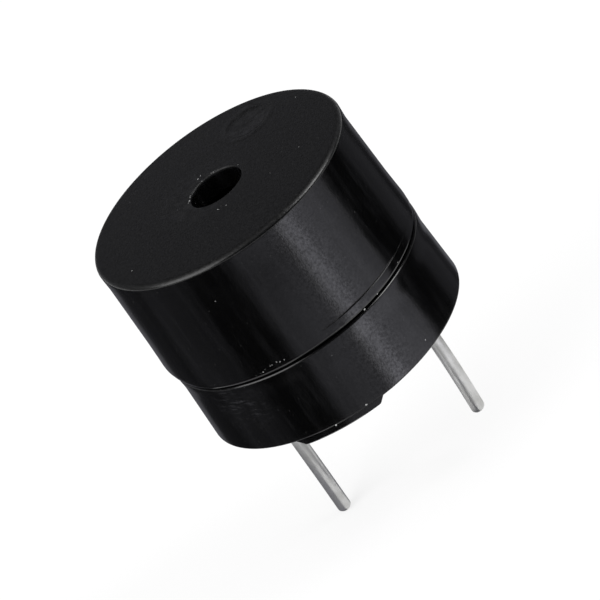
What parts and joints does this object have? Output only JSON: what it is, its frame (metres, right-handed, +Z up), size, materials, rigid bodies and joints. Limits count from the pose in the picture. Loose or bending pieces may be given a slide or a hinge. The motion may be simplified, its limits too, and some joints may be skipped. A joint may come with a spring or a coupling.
{
  "type": "piezo buzzer",
  "caption": "Round black board-mount piezo buzzer: capped plastic case with a central sound port, self-drive circuit inside and tinned pins below.",
  "frame": {"origin": "on the case's axis, midway between the pins, in the plane of the circuit board that the feet stand on", "axes": "+Z up along the case's axis to the sound port, +X from the positive pin to the negative pin"},
  "size_m": [0.012, 0.012, 0.0161],
  "materials": {
    "cap_plastic": "moulded black plastic, satin sides and a fine matte top",
    "base_plastic": "moulded black plastic, satin",
    "silicone": "cured silicone",
    "brass": "rolled sheet",
    "piezo_ceramic": "fired, fine-grained",
    "silver": "fired silver paste",
    "board_laminate": "lacquered laminate",
    "copper": "bright copper",
    "chip_plastic": "moulded epoxy",
    "chip_ceramic": "glazed top on ceramic",
    "solder": "bright solder",
    "tinned_metal": "drawn wire, tinned, satin",
    "resin": "cast black resin"
  },
  "bodies": {
    "root": {"upper_case": "cap_plastic", "lower_case": "base_plastic", "adhesive_ring": "silicone", "diaphragm_plate": "brass", "piezo_ceramic": "piezo_ceramic", "drive_electrode": "silver", "feedback_electrode": "silver", "circuit_board": "board_laminate", "board_copper": "copper", "transistor_body": "chip_plastic", "transistor_legs": "tinned_metal", "bias_resistor": "chip_ceramic", "load_resistor": "chip_ceramic", "feedback_resistor": "chip_ceramic", "drive_lead": "copper", "feedback_lead": "copper", "plate_lead": "copper", "pin_solder": "solder", "lead_solder": "solder", "positive_pin": "tinned_metal", "negative_pin": "tinned_metal", "potting_resin": "resin"}
  },
  "joints": []
}
